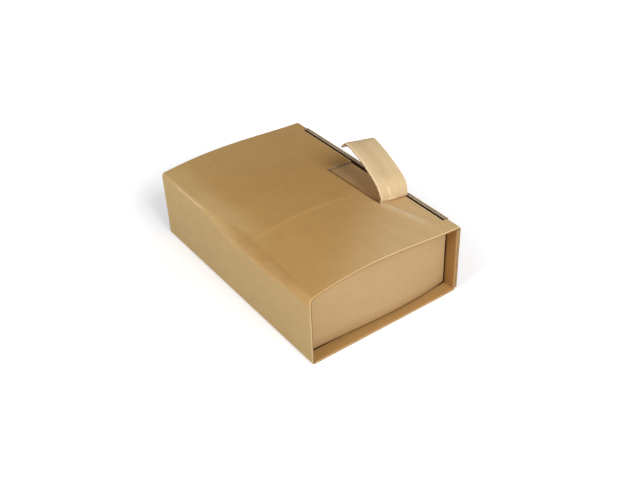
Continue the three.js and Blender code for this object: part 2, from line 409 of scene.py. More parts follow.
# %% [markdown]
# ## Buckles and sagging walls
#
# The lifted strip is buckled near its base, where it was bent hardest, and a soft fold runs up
# beside its tear. The walls are never quite flat. These are heights of less than a millimetre,
# added to the depth of each layer, so all three layers of the board share them.

# %% Small departures from the ideal board
low_buckle = 0.5 * MM
upright_buckle = 0.7 * MM
soft_buckle = 0.3 * MM
tear_buckle = 0.5 * MM
sag_depth = 0.25 * MM
sag_offset = 0.8


def ridge(distance, width):
    return math.exp(-((distance / width) ** 2))


def strip_buckle(x, along):
    """Creases near the strip's base: one across it, one up it, and a softer one further up."""
    across = across_strip(x)
    from_tear = x - tear_line
    low = ridge(along - 13 * MM - 2 * MM * across, 1.5 * MM)
    low *= ease(across, 0.1, 0.3) * (1 - ease(across, 0.5, 0.7))
    upright = ridge(from_tear - 13 * MM - 0.2 * (along - 16 * MM), 2 * MM)
    upright *= ease(along, 11 * MM, 17 * MM) * (1 - ease(along, 26 * MM, 36 * MM))
    soft = ridge(along - 52 * MM + 6 * MM * across, 6 * MM)
    beside_tear = ridge(from_tear - 6 * MM, 2.2 * MM) * ease(along, 25 * MM, 50 * MM)
    creases = low_buckle * low + upright_buckle * upright
    return creases - soft_buckle * soft + tear_buckle * beside_tear


def wall_sag(place):
    """How far a wall dips inwards, as 0 or less: large soft dips with smaller ones on them."""
    dips = noise.noise(place * 14) + 0.6 * noise.noise(place * 31)
    return sag_depth * min(dips - sag_offset, 0)


sag_sample = wall_sag(Vector((left, 0, lid_height / 2)))
print(f"the middle of the left wall dips by {-sag_sample / MM:.2f} mm")


# %% [markdown]
# ## Cutting a blank
#
# A blank starts as a plane as large as the unfolded sheet. The bisect tool cuts it along each
# fold and each die line, and then often enough that it can bend. Columns run along the pack,
# and rows run round it.

# %% Cut a plane into a blank
CUT_MERGE = 1e-6
steps_in_fold = 5
steps_in_panel = 6


def clear_selection():
    if bpy.context.object and bpy.context.object.mode != "OBJECT":
        bpy.ops.object.mode_set(mode="OBJECT")
    bpy.ops.object.select_all(action="DESELECT")


def cut_blank(name, width, low, high, rows, column_lines, row_lines=()):
    """A flat sheet from x = 0 to width and y = low to high, cut along the given lines."""
    clear_selection()
    bpy.ops.mesh.primitive_grid_add(x_subdivisions=1, y_subdivisions=rows, size=1)
    blank = bpy.context.object
    blank.name = name
    bpy.ops.object.mode_set(mode="EDIT")
    bpy.ops.mesh.select_all(action="SELECT")
    bpy.ops.transform.resize(value=(width, high - low, 1))
    bpy.ops.transform.translate(value=(width / 2, (low + high) / 2, 0))
    for lines, normal in ((column_lines, (1, 0, 0)), (row_lines, (0, 1, 0))):
        for line in lines:
            bpy.ops.mesh.select_all(action="SELECT")
            place = [line * n for n in normal]
            bpy.ops.mesh.bisect(plane_co=place, plane_no=normal, threshold=CUT_MERGE)
    bpy.ops.object.mode_set(mode="OBJECT")
    print(name, "is cut into", len(blank.data.polygons), "faces")
    return blank


def lines_in(path, steps):
    """Cut lines for every panel of a path: its start, and evenly inside it."""
    lines = []
    for name, start, length, turn, _ in path.panels:
        count = steps.get(name, steps_in_fold if turn else steps_in_panel)
        lines += [start + length * i / count for i in range(count)]
    return lines[1:]


# %% [markdown]
# ## Picking parts of a blank
#
# Edit mode's operators act on what is selected. In a window the faces of the slot would be
# picked with a box, and here they are picked by their place on the blank. The selection is
# written in object mode, because a mesh's own data is locked while it is being edited.

# %% Select faces or edges by their place
def only(piece):
    """Select one object and nothing else."""
    clear_selection()
    bpy.context.view_layer.objects.active = piece
    piece.select_set(True)


def start_selecting(blank, kind):
    only(blank)
    bpy.ops.object.mode_set(mode="EDIT")
    bpy.ops.mesh.select_mode(type=kind)
    bpy.ops.mesh.select_all(action="DESELECT")
    bpy.ops.object.mode_set(mode="OBJECT")


def select_faces(blank, wanted):
    start_selecting(blank, "FACE")
    for face in blank.data.polygons:
        face.select = wanted(face.center)
    bpy.ops.object.mode_set(mode="EDIT")


def select_edges(blank, wanted):
    start_selecting(blank, "EDGE")
    places = [v.co for v in blank.data.vertices]
    for edge in blank.data.edges:
        edge.select = all(wanted(places[i]) for i in edge.vertices)
    bpy.ops.object.mode_set(mode="EDIT")


# %% [markdown]
# ## Die cuts in the wrap's blank
#
# The slot is deleted from the blank. The closing flap's lip beside it stays flat when the
# shoulders fold, so a short slit parts them. The strip is parted from the lid along its tear
# line and its torn end, and stays joined at its base. Two vertex groups remember the lip and
# the strip for the folding.

# %% Open the slot, the slits and the tear
NEAR = 0.02 * MM
lip_start = flat_wrap.start_of("right lid fold")
lip_end = lip_start + fold_outer - lip_drop
wall_top_line = flat_wrap.start_of("right wall") + right_wall_top - fold_outer
lid_start = flat_wrap.start_of("lid")
lid_start_x = right - half - fold_middle
slot_line = lid_start + lid_start_x - slot_edge
tear_column = lid_start + lid_start_x - tear_line
before_base = 1 * MM
strip_front = strip_base - strip_base_skew - before_base
print(f"on the blank the slot is {(slot_line - lip_end) / MM:.1f} mm wide")


def near(value, line):
    return abs(value - line) < NEAR


def between(value, low, high):
    return low - NEAR <= value <= high + NEAR


def in_slot(place):
    return lip_end < place.x < slot_line and abs(place.y) < slot_end


def above_wall(place):
    return place.x > wall_top_line and abs(place.y) > wall_lip_end


def on_slit(place):
    return between(place.x, lip_start, lip_end) and near(abs(place.y), slot_end)


def on_tear_line(place):
    return near(place.x, tear_column) and between(place.y, strip_base, torn_end)


def on_torn_end(place):
    return between(place.x, slot_line, tear_column) and near(place.y, torn_end)


def is_strip(place):
    return slot_line < place.x < tear_column and strip_front < place.y < torn_end


def is_lip(place):
    return lip_start < place.x < lip_end and abs(place.y) < slot_end


def keep_group(blank, name, wanted):
    select_faces(blank, wanted)
    bpy.ops.object.vertex_group_assign_new()
    blank.vertex_groups.active.name = name
    bpy.ops.object.mode_set(mode="OBJECT")


def open_wrap(blank, base_cuts):
    for waste in (in_slot, above_wall):
        select_faces(blank, waste)
        bpy.ops.mesh.delete(type="FACE")
    for parting in (on_slit, on_tear_line, on_torn_end):
        select_edges(blank, parting)
        bpy.ops.mesh.edge_split(type="EDGE")
    bpy.ops.object.mode_set(mode="OBJECT")
    keep_group(blank, "lip", is_lip)
    keep_group(blank, "strip", is_strip)
    bpy.ops.object.mode_set(mode="EDIT")
    for cut in base_cuts:
        bpy.ops.mesh.select_all(action="DESELECT")
        bpy.ops.object.vertex_group_select()
        bpy.ops.mesh.bisect(
            plane_co=(tear_column, strip_base + cut, 0),
            plane_no=(-strip_base_skew, strip_width, 0),
            threshold=CUT_MERGE,
        )
    bpy.ops.object.mode_set(mode="OBJECT")
    print(blank.name, "has", len(blank.data.polygons), "faces once it is open")


# %% [markdown]
# ## Folding the wrap
#
# Each point of the blank finds its panel, takes that panel's place on the folded path and
# moves out by its depth in the board. Lip points go straight up, and strip points follow the
# strip's own path. The blank's flat places are kept as UVs, so that the paper's grain and the
# lines of the flutes follow the folds.

# %% Fold a wrap blank at one depth in the board
pull_fade = 25 * MM
fluff_reach = 0.9 * MM
torn_fluff = 0.7


def memo(make):
    """Remember what make gives for each value, because a row shares its section."""
    seen = {}

    def get(value):
        key = round(value, 6)
        if key not in seen:
            seen[key] = make(value)
        return seen[key]

    return get


section_at = memo(wrap_section)
strip_at = memo(strip_path)


def keep_flat_places(blank):
    layer = blank.data.uv_layers.active or blank.data.uv_layers.new(name="flat")
    layer.name = "flat"
    for loop in blank.data.loops:
        place = blank.data.vertices[loop.vertex_index].co
        layer.data[loop.index].uv = (place.x, place.y)


def group_members(blank, name):
    index = blank.vertex_groups[name].index
    return {v.index for v in blank.data.vertices if any(g.group == index for g in v.groups)}


def wrap_place(flat, depth, in_strip, in_lip):
    """Where a flat place of the wrap's blank lies on the folded pack."""
    if in_lip:
        height = lid_height - fold_outer + flat.x - lip_start
        return Vector((right - half + depth, flat.y, height))
    panel, share = flat_wrap.find(flat.x)
    name = flat_wrap.panels[panel][0]
    section = section_at(flat.y)
    a, b, heading = section.at(panel, share)
    x = a + math.sin(heading) * depth
    z = b - math.cos(heading) * depth
    if in_strip and flat.y > base_at(a):
        along = flat.y - base_at(a)
        path = strip_at(a)
        y, z, heading = path.at(*path.find(along))
        z += pull_ridge(a, base_at(a)) * (1 - ease(along, 0, pull_fade))
        depth += strip_buckle(a, along)
        return Vector((a, y - math.sin(heading) * depth, z + math.cos(heading) * depth))
    place = Vector((x, flat.y, z))
    if name in lid_panels:
        place.z += lid_rise(x, flat.y) + pull_ridge(x, flat.y)
    if name in ("left wall", "closing flap"):
        outward = 1 if name == "closing flap" else -1
        middle = math.sin(math.pi * share)
        place.x += outward * middle * wall_sag(Vector((outward, place.y, place.z)))
    return place


def swell(flat, share):
    """0 inside the board, and 1 on edges whose paper was fluffed up by the cut or the tear."""
    edges = (lip_end, slot_line, flat_wrap.length) if abs(flat.y) < slot_end + NEAR else ()
    cut = max((1 - ease(abs(flat.x - edge), 0, fluff_reach) for edge in edges), default=0)
    return max(cut, torn_fluff * (1 - ease(share, 0.3, 0.95)))


def fold_wrap(blank, depth_at, layer):
    """Fold one layer, and remember in a vertex group where its paper is fluffed up."""
    keep_flat_places(blank)
    swollen = blank.vertex_groups.new(name="swollen")
    strip = group_members(blank, "strip")
    lip = group_members(blank, "lip")
    lip_roots = {i for i in lip if abs(blank.data.vertices[i].co.x - lip_start) < NEAR}
    for v in blank.data.vertices:
        flat = v.co.copy()
        in_strip = v.index in strip and flat.y > strip_front + before_base
        in_lip = v.index in lip and v.index not in lip_roots
        share = torn_share(flat, in_strip)
        swollen.add([v.index], swell(flat, share), "REPLACE")
        depth = depth_at(flat, share, in_strip)
        tear(flat, in_strip, layer)
        v.co = wrap_place(flat, depth, in_strip, in_lip)
    blank.data.update()
    print(blank.name, "is folded")


# %% [markdown]
# ## Liners and fluting
#
# The two liners lie at the outside of the board, and the fluting waves between them. Where
# the die cut along the flutes, its blunt rule pressed the edge together, so the liners curl
# towards each other there.

# %% Depths of the three layers in the board
paper = 0.35 * MM
flute_paper = 0.4 * MM
flute_pitch = 6.5 * MM
flute_clearance = 0.02 * MM
liner_depth = half - paper / 2
flute_depth = half - paper - flute_paper / 2 - flute_clearance
roll_reach = 1.1 * MM
roll_share = 0.3


def pressed(edge_distance):
    """1 inside the board, and less where its edge was pressed together."""
    t = min(max(edge_distance / roll_reach, 0), 1)
    return mix(roll_share, 1, math.sqrt(1 - (1 - t) ** 2))


print(f"the fluting waves {flute_depth / MM:.2f} mm to each side of the board's middle")

# %% [markdown]
# ## From a folded sheet to paper
#
# A folded sheet has no thickness yet. Solidify gives each layer the thickness of its paper, and
# more where the swollen group says that the paper is fluffed up. The rim that it adds takes
# the piece's second material, which is the cut edge.

# %% Copy a blank, and give a layer the thickness of its paper
SMOOTH_BELOW = math.radians(40)


def copy_of(blank, name):
    only(blank)
    bpy.ops.object.duplicate(linked=False)
    bpy.context.object.name = name
    return bpy.context.object


def thicken(piece, thickness, swollen=None):
    only(piece)
    solid = piece.modifiers.new("paper", "SOLIDIFY")
    solid.thickness = thickness
    if swollen:
        solid.thickness = swollen
        solid.vertex_group = "swollen"
        solid.thickness_vertex_group = thickness / swollen
    solid.offset = 0
    solid.material_offset_rim = 1
    bpy.ops.object.modifier_apply(modifier=solid.name)
    bpy.ops.object.shade_smooth_by_angle(angle=SMOOTH_BELOW)
    piece.vertex_groups.clear()
    print(piece.name, "has", len(piece.data.polygons), "faces")


# %% [markdown]
# ## The depths of the wrap's layers
#
# The rule that cut the slot crushed the board beside it, a little at the lips and more at the
# lid's edge, and pressed the flutes there almost flat. At the tear the liners come closer
# together, and on the strip the outer one bends in past the middle of the board.

# %% How deep each layer of the wrap lies
lid_edge_crush = 0.72
lip_crush = 0.82
flute_crush = 0.3
crush_reach = 1.6 * MM
lip_reach = 1.1 * MM
opening_press = 0.75
strip_press = -0.3


def crushed(flat):
    """1 inside the board, and less where the rule that cut the slot crushed its edges."""
    if abs(flat.y) > slot_end + NEAR:
        return 1
    lid_edge = mix(lid_edge_crush, 1, ease(abs(flat.x - slot_line), 0, crush_reach))
    from_lip = min(abs(flat.x - lip_end), abs(flat.x - flat_wrap.length))
    return min(lid_edge, mix(lip_crush, 1, ease(from_lip, 0, lip_reach)))


def flattened(flat):
    """1 inside the board, and less at cut edges, where the flutes were pressed flat."""
    nearest = min(abs(flat.x - edge) for edge in (lip_end, slot_line, flat_wrap.length))
    return mix(flute_crush, 1, ease(nearest, 0, crush_reach))


def outer_depth(flat, share, in_strip):
    depth = liner_depth * crushed(flat) * pressed(liner_end - abs(flat.y))
    return depth * mix(strip_press if in_strip else opening_press, 1, share)


def inner_depth(flat, share, in_strip):
    depth = -liner_depth * crushed(flat) * pressed(liner_end - abs(flat.y))
    return depth * mix(opening_press, 1, share)


def wave_depth(flat, share, in_strip):
    wave = math.cos(2 * math.pi * flat.y / flute_pitch)
    return flute_depth * flattened(flat) * share * wave


# %% [markdown]
# ## Lines on the wrap's blank
#
# The blank is cut on each line of the slot, the lips and the tear, and at small steps beside
# the edges that are pressed, crushed or torn. The strip is cut every 0.4 mm at its base and
# then every 0.7 mm, so that it can bend there.

# %% Where the wrap's blank is cut
liner_rows = 200
flute_rows = 420
flute_inset = 1.2 * MM
liner_end = back - paper / 2
flute_end = back - flute_inset
roll_steps = [d * MM for d in (0.06, 0.25, 0.6, 1.1)]
torn_steps = [d * MM for d in (0.15, 0.4, 0.8, 1.3, 1.9)]
crush_steps = [d * MM for d in (0.5, 1.1)]
edge_rows = [side * (liner_end - d) for side in (-1, 1) for d in roll_steps]
die_rows = [-slot_end, slot_end, -wall_lip_end, wall_lip_end, strip_base, torn_end]
torn_rows = [torn_end + side * d for side in (-1, 1) for d in torn_steps]
die_columns = [lip_end, slot_line, wall_top_line, tear_column]
for edge, inward in ((lip_end, -1), (slot_line, 1), (flat_wrap.length, -1)):
    die_columns += [edge + inward * d for d in crush_steps]
torn_columns = [tear_column + side * d for side in (-1, 1) for d in torn_steps]
liner_steps = {"lid": 44, "left wall": 14, "closing flap": 14, "floor": 10, "right wall": 8}
liner_steps["left lid fold"] = 10
flute_steps = {"lid": 22, "left wall": 4, "closing flap": 4, "floor": 4, "right wall": 4}
stand_cuts = [0.4 * MM * i for i in range(13)]
bend_cuts = [0.7 * MM * i for i in range(8, 26)]
base_cuts = stand_cuts + bend_cuts
print("the strip's base is cut", len(base_cuts), "times, so that it can bend")

# %% [markdown]
# ## The wrap's three layers
#
# Both liners are copies of one opened blank, so their edges match until the tear moves them.
# The fluting has a blank of its own. It has more rows, because each of its waves needs about
# eight of them, and fewer columns, because it hardly shows inside the board.

# %% Make the wrap's three layers
swollen_liner = 0.75 * MM
swollen_fluting = 1.4 * MM

liner_columns = lines_in(flat_wrap, liner_steps) + die_columns + torn_columns
liner_blank = cut_blank("wrap_liner_blank", flat_wrap.length, -liner_end, liner_end, liner_rows,
                        liner_columns, edge_rows + die_rows + torn_rows)
open_wrap(liner_blank, base_cuts)
wrap_outer_liner = copy_of(liner_blank, "wrap_outer_liner")
wrap_inner_liner = copy_of(liner_blank, "wrap_inner_liner")
fold_wrap(wrap_outer_liner, outer_depth, "outer")
fold_wrap(wrap_inner_liner, inner_depth, "inner")
bpy.data.objects.remove(liner_blank)

flute_columns = lines_in(flat_wrap, flute_steps) + die_columns + torn_columns[::2]
wrap_fluting = cut_blank("wrap_fluting", flat_wrap.length, -flute_end, flute_end, flute_rows,
                         flute_columns, die_rows)
open_wrap(wrap_fluting, base_cuts[::2])
fold_wrap(wrap_fluting, wave_depth, "fluting")

thicken(wrap_outer_liner, paper, swollen_liner)
thicken(wrap_inner_liner, paper, swollen_liner)
thicken(wrap_fluting, flute_paper, swollen_fluting)

# %% [markdown]
# ## The tray
#
# The tray is folded from its own blank in the same way. Its path runs along the pack: from
# the front flap's free edge, down the front end wall, along the floor, up the back end wall
# and forward again. The front flap lies on the back one and comes up under the bowed lid. The
# foot of the front end wall has been pushed out, so it bows towards the rim's edge.

# %% The tray's path
glue_gap = 0.3 * MM
tray_clearance = 2.4 * MM
flap_clearance = 7.5 * MM
tray_left = left + board + tray_clearance
tray_right = right_wall_inner - tray_clearance
tray_width = tray_right - tray_left
tray_floor = board + glue_gap + half
tray_top = lid_height - board - top_gap - half
front_wall = front + rim_depth + half
back_wall = back - rim_depth - half
flap_lap = board + top_gap
flap_taper = flap_clearance - tray_clearance

tray_path = (
    FoldPath(front_flap_end, tray_top, 180)
    .go("front flap", front_flap_end - front_wall - fold_middle)
    .fold("front flap fold", 90, fold_middle)
    .go("front wall", tray_top - tray_floor - 2 * fold_middle)
    .fold("front foot", 90, fold_middle)
    .go("tray floor", back_wall - front_wall - 2 * fold_middle)
    .fold("back foot", 90, fold_middle)
    .go("back wall", tray_top - tray_floor - 2 * fold_middle)
    .fold("back flap fold", 90, fold_middle)
    .go("back flap", back_wall - fold_middle - back_flap_end)
)
print(f"the tray's blank is {tray_width / MM:.0f} x {tray_path.length / MM:.0f} mm")

# %% [markdown]
# ## Folding the tray
#
# The tray is folded along a path of its own. Its flaps rise with the lid and narrow a little on
# the left, and the front end wall's foot is pushed out.

# %% How the tray's panels depart from flat, and where its flat places go
flap_bow_share = 0.93
flap_climb = 75 * MM
taper_reach = 40 * MM
foot_bow = 6 * MM
foot_bow_lean = 1.4
wall_sag_share = 0.8
# A place in the noise that no wall of the wrap uses
sag_place = 3


def flap_rise(name, x, y):
    """The flaps follow the bowed lid, and the back one dips under the front one."""
    bow = flap_bow_share * bow_share(x) * crown_at(y)
    if name.startswith("front flap"):
        return bow * ease(y, front_wall + fold_outer, front_wall + fold_outer + flap_climb)
    if name.startswith("back flap"):
        return (bow - flap_lap) * (1 - ease(y, front_flap_end + flap_lap, back_wall - fold_outer))
    return 0


def foot_push(name, across, z):
    """How far the front end wall's foot is pushed out, most of all right of the middle."""
    if name not in ("front flap fold", "front wall", "front foot"):
        return 0
    bow = foot_bow * math.sin(math.pi * across**foot_bow_lean)
    return -bow * (1 - ease(z, tray_floor + fold_middle, tray_top - fold_outer))


def tray_place(flat, depth):
    """flat.x runs across the pack, from 0 at the tray's left edge, and flat.y along its path."""
    panel, share = tray_path.find(flat.y)
    name = tray_path.panels[panel][0]
    y, z, heading = tray_path.at(panel, share)
    across = flat.x / tray_width
    from_fold = min(y - front_wall, back_wall - y) - fold_middle
    taper = flap_taper * ease(from_fold, 0, taper_reach) if name.endswith("flap") else 0
    x = mix(tray_left + taper, tray_right, across)
    y += math.sin(heading) * depth
    z -= math.cos(heading) * depth
    if name == "front wall":
        sag = wall_sag_share * wall_sag(Vector((x, sag_place, z)))
        y -= math.sin(math.pi * share) * sag
    return Vector((x, y + foot_push(name, across, z), z + flap_rise(name, x, y)))


def fold_tray(blank, depth_at):
    keep_flat_places(blank)
    for v in blank.data.vertices:
        v.co = tray_place(v.co, depth_at(v.co))
    blank.data.update()
    print(blank.name, "is folded")


# %% [markdown]
# ## The tray's three layers
#
# The tray's flutes stand upright in its end walls, across the blank's columns, so here the
# columns are close together and the rows only bend the folds. The fluting ends a little short
# of the liners, because the die pressed the board's sides together there.

# %% Make the tray's three layers
side_share = 56
wave_share = 264
wave_inset = 3
tray_steps = {"front flap": 40, "back flap": 30, "front wall": 14, "back wall": 8, "tray floor": 16}
tray_wave_steps = {"front flap": 20, "back flap": 16, "front wall": 10, "back wall": 4}
tray_wave_steps["tray floor"] = 6


def tray_edge_distance(place):
    return min(place.x, tray_width - place.x)


def tray_outer_depth(place):
    return liner_depth * pressed(tray_edge_distance(place))


def tray_inner_depth(place):
    return -tray_outer_depth(place)


def tray_wave_depth(place):
    return flute_depth * math.cos(2 * math.pi * place.x / flute_pitch)


tray_columns = [tray_width * i / side_share for i in range(1, side_share)]
tray_columns += roll_steps + [tray_width - d for d in roll_steps]
tray_blank = cut_blank("tray_liner_blank", tray_width, 0, tray_path.length, 1,
                       tray_columns, lines_in(tray_path, tray_steps))
tray_outer_liner = copy_of(tray_blank, "tray_outer_liner")
tray_inner_liner = copy_of(tray_blank, "tray_inner_liner")
fold_tray(tray_outer_liner, tray_outer_depth)
fold_tray(tray_inner_liner, tray_inner_depth)
bpy.data.objects.remove(tray_blank)

wave_range = range(wave_inset, wave_share - wave_inset + 1)
wave_columns = [tray_width * i / wave_share for i in wave_range]
tray_fluting = cut_blank("tray_fluting", tray_width, 0, tray_path.length, 1,
                         wave_columns, lines_in(tray_path, tray_wave_steps))
select_faces(tray_fluting, lambda p: tray_edge_distance(p) < wave_columns[0])
bpy.ops.mesh.delete(type="FACE")
bpy.ops.object.mode_set(mode="OBJECT")
fold_tray(tray_fluting, tray_wave_depth)

thicken(tray_outer_liner, paper)
thicken(tray_inner_liner, paper)
thicken(tray_fluting, flute_paper)

# %% [markdown]
# ## Writing shaders as sums
#
# A brown paper finish adds and multiplies many small patterns. One small class wraps a socket
# so that Python's own signs add the Math nodes, and one method adds every other node.

# %% A class that writes node trees
def compute(tree, operation, *values):
    """Add a Math node."""
    node = tree.nodes.new("ShaderNodeMath")
    node.operation = operation
    for target, value in zip(node.inputs, values):
        put(tree, target, value)
    return Wire(tree, node.outputs[0])


class Wire:
    def __init__(self, tree, socket):
        self.tree = tree
        self.socket = socket

    def math(self, operation, *others):
        return compute(self.tree, operation, self, *others)

    def __add__(self, other):
        return self.math("ADD", other)

    def __sub__(self, other):
        return self.math("SUBTRACT", other)

    def __mul__(self, other):
        return self.math("MULTIPLY", other)

    def __radd__(self, other):
        return compute(self.tree, "ADD", other, self)

    def __rsub__(self, other):
        return compute(self.tree, "SUBTRACT", other, self)

    def __rmul__(self, other):
        return compute(self.tree, "MULTIPLY", other, self)

    def __neg__(self):
        return self.math("MULTIPLY", -1)

    def step(self, low, high):
        """0 below low, 1 above high, smooth between."""
        node = self.tree.nodes.new("ShaderNodeMapRange")
        node.interpolation_type = "SMOOTHSTEP"
        for target, value in zip(node.inputs, (self, low, high, 0, 1)):
            put(self.tree, target, value)
        return Wire(self.tree, node.outputs[0])


def put(tree, target, value):
    if isinstance(value, Wire):
        tree.links.new(value.socket, target)
    else:
        target.default_value = value


class Finish:
    def __init__(self, name):
        self.material = bpy.data.materials.new(name)
        self.material.use_nodes = True
        self.tree = self.material.node_tree
        self.shader = self.tree.nodes["Principled BSDF"]

    def node(self, kind, output=0, settings=None, **values):
        """Add a node, set its settings first and then its sockets, and give one output."""
        node = self.tree.nodes.new("ShaderNode" + kind)
        for key, value in (settings or {}).items():
            setattr(node, key, value)
        for key, value in values.items():
            put(self.tree, node.inputs[key.replace("_", " ")], value)
        return Wire(self.tree, node.outputs[output])

    def blend(self, amount, first, second):
        node = self.tree.nodes.new("ShaderNodeMix")
        node.data_type = "RGBA"
        for index, value in ((0, amount), (6, first), (7, second)):
            put(self.tree, node.inputs[index], value)
        return Wire(self.tree, node.outputs[2])

    def set(self, **values):
        for key, value in values.items():
            put(self.tree, self.shader.inputs[key.replace("_", " ")], value)
        return self.material


def paint(red, green, blue):
    """A colour read as screen values from 0 to 255, as the linear colour that shaders use."""
    linear = [((c / 255 + 0.055) / 1.055) ** 2.4 for c in (red, green, blue)]
    return (*linear, 1)


print("screen grey 128 is", round(paint(128, 128, 128)[0], 3), "in a shader")

# %% [markdown]
# ## Brown kraft paper
#
# Kraft liner is matt and warm brown. It is cloudy at the size of a coin, streaked along the
# paper's grain, and full of fibres and a few dark flecks. The flutes show through it as faint
# bands. The flat place on the blank gives the grain its direction, whatever the fold. A noise
# texture's scale counts its cells in a metre, so 800 makes cells of about a millimetre.

# %% The kraft finish
dark_grain = paint(120, 82, 44)
pale_fibre = paint(228, 206, 168)
dark_fleck = paint(92, 62, 34)
fibre_height = 0.1 * MM
band_height = 0.2 * MM


class KraftFinish(Finish):
    """Kraft paper, with masks made from the flat place on the blank."""

    def __init__(self, name):
        super().__init__(name)
        self.flat = self.node("UVMap", settings={"uv_map": "flat"})
        self.round = self.node("SeparateXYZ", Vector=self.flat)
        self.along = Wire(self.tree, self.round.socket.node.outputs[1])

    def pattern(self, scale, detail=3.0, low=0.35, high=0.65, stretch=(1, 1, 1), distortion=0.0):
        """Cloudy noise on the blank, from 0 to 1."""
        place = self.node("Mapping", Vector=self.flat, Scale=stretch)
        cloud = self.node("TexNoise", Vector=place, Scale=scale, Detail=detail, Distortion=distortion)
        return cloud.step(low, high)

    def line(self, value, place, width):
        """1 on a line across the blank, and 0 at width away from it."""
        return 1 - (value - place).math("ABSOLUTE").step(0, width)

    def stretch_of(self, value, low, high, soft=2 * MM):
        """1 between low and high, and 0 outside."""
        return value.step(low - soft, low + soft) * (1 - value.step(high - soft, high + soft))

    def capped(self, mask):
        return mask.math("MINIMUM", 1)

    def paper(self, colour, waves, band):
        """Add the grain, the fibres, the flecks and the flute bands that all the liners have."""
        grain_stretch = (0.14, 1, 1) if waves is self.round else (1, 0.14, 1)
        grain = self.pattern(800.0, stretch=grain_stretch)
        streaks = self.pattern(170.0, low=0.3, high=0.7, stretch=grain_stretch)
        clouds = self.pattern(38.0, detail=4.0, low=0.3, high=0.7)
        fibres = self.pattern(1500.0, detail=2.0, low=0.5, high=0.8, distortion=1.5)
        flecks = self.pattern(700.0, detail=1.0, low=0.72, high=0.8)
        bands = (waves * (2 * math.pi / flute_pitch)).math("COSINE") * 0.5 + 0.5
        shade = (clouds + streaks + grain) * 0.05 + bands * (0.06 * band)
        colour = self.blend(shade, colour, dark_grain)
        colour = self.blend(fibres * 0.08, colour, pale_fibre)
        colour = self.blend(flecks * 0.35, colour, dark_fleck)
        height = fibres * 0.35 + grain * 0.3 + clouds * 0.3
        fine = self.node("Bump", Strength=0.5, Distance=fibre_height, Height=height)
        ridges = self.node("Bump", Strength=band, Distance=band_height, Height=bands, Normal=fine)
        self.set(Specular_IOR_Level=0.15)
        return self.set(Base_Color=colour, Roughness=0.84 - grain * 0.08, Normal=ridges)


# %% [markdown]
# ## The marks on the wrap
#
# The die, the folds, the tear and the pull left marks at known places on the blank, and painted
# shade and painted highlights lie at known places too. Each mark is a mask made from the flat
# place: round counts from the closing flap's lower edge, and along counts from the middle of
# the pack to its back. A mask is 1 on the mark and 0 away from it, so masks can be multiplied
# and added, and each blends one colour over the paper.

# %% The tones of the wrap's panels
fold_centres = [start + length / 2 for _, start, length, turn, _ in flat_wrap.panels if turn]
right_lid_fold, left_lid_fold = fold_centres[:2]
lid_length = flat_wrap.length_of("lid")
floor_start = flat_wrap.start_of("floor")
floor_end = floor_start + flat_wrap.length_of("floor")
rim_start = back - rim_depth


class WrapFinish(KraftFinish):
    """Kraft paper with masks for the panels and the strip of the wrap."""

    def on_lid(self):
        """The lid, whose tone runs further down its left fold where that fold is soft."""
        softness = 1 - self.along.step(-10 * MM, 70 * MM)
        tone_end = left_lid_fold + 5 * MM + softness * (14 * MM)
        begins = self.round.step(right_lid_fold - 4 * MM, right_lid_fold + 2 * MM)
        return begins * (1 - self.round.step(left_lid_fold - 3 * MM, tone_end))

    def lid_tone(self, lid, lid_near_sheen, lid_left):
        """The lid is painted paler, as a sheen, at its near corner, beside its left fold and towards
        the back.
        """
        sheen_corner = (-self.along - self.round * 0.9).step(-130 * MM, 20 * MM)
        at_left = self.round.step(lid_start + 180 * MM, lid_start + lid_length)
        at_left *= self.along.step(-90 * MM, 40 * MM)
        at_back = self.along.step(30 * MM, 170 * MM) * 0.4
        tone = self.blend(sheen_corner, lid, lid_near_sheen)
        return self.blend(self.capped(at_left + at_back), tone, lid_left)

    # Between the end walls, where the inner paper is painted very dark as shade.
    def inside_shade_mask(self):
        return 1 - self.along.math("ABSOLUTE").step(rim_start - 1.5 * MM, rim_start)

    def on_strip(self):
        across = self.stretch_of(self.round, slot_line - 1 * MM, tear_column, 0.2 * MM)
        return across * self.stretch_of(self.along, strip_base + 1 * MM, torn_end, 0.8 * MM)


print("the wrap's folds lie at", [round(centre / MM) for centre in fold_centres], "mm round it")

# %% [markdown]
# ## Worn and torn paper, painted shade and painted highlights
#
# Kraft paper turns pale where it is rubbed, creased or torn, because its fibres lift. A hollow is
# painted darker as shade, and painted shade lines in the valley at the strip's base and beside
# the lid's torn edge are nearly black. The palest marks are the strip's torn rims and the
# painted highlights on the pull's ridge and on the strip's buckles.

# %% The marks of wear, painted shade and painted highlights
# After the dull tone come painted shade in a hollow, real wear together with painted highlights, and
# painted shade in lines.
dull_kraft = paint(160, 126, 76)
hollow_shade_kraft = paint(150, 112, 62)
wear_and_highlight_kraft = paint(232, 210, 172)
wrap_shade_line = paint(84, 54, 24)


